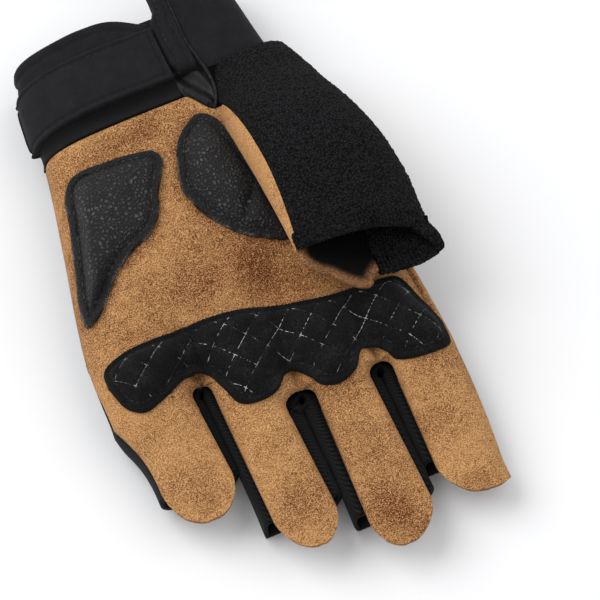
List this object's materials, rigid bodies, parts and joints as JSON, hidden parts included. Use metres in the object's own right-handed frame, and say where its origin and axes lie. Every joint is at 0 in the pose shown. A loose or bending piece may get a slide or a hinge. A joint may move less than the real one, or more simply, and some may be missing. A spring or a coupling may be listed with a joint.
{
  "type": "cycling glove",
  "caption": "Short-finger cycling glove lying palm up: suede palm, padded leather patches, quilted knuckle bar, towelling thumb and a hook-and-loop wrist strap.",
  "frame": {"origin": "middle of the outline in plan, on the surface that the back of the glove lies on", "axes": "+Y from the fingers to the wrist, +Z out of the palm, +X towards the thumb's side"},
  "size_m": [0.1012, 0.1842, 0.0439],
  "materials": {
    "suede": "napped tan suede with raw-cut edges",
    "grained_leather": "black pebble-grained leather, semi-gloss",
    "quilted_cloth": "matte black brushed cloth quilted in small squares",
    "towelling": "coarse black looped towelling",
    "twill": "black ribbed twill",
    "stretch_knit": "smooth black stretch knit",
    "strap_cloth": "dense black laminated cloth with stitched edges",
    "satin": "black satin",
    "piping": "black corded piping"
  },
  "bodies": {
    "root": {"palm_panel": "suede", "hand_back": "stretch_knit", "fourchette_little_ring": "twill", "fourchette_ring_middle": "twill", "fourchette_middle_index": "twill", "thumb_back": "towelling", "thumb_hem": "towelling", "thumb_front": "suede", "knuckle_bar": "quilted_cloth", "heel_pad": "grained_leather", "thenar_pad": "grained_leather", "cuff_palm": "stretch_knit", "cuff_side": "stretch_knit", "wrist_strap": "strap_cloth", "vent_hem": "stretch_knit", "vent_gusset": "satin", "vent_piping": "piping", "gusset_piping": "piping"}
  },
  "joints": []
}
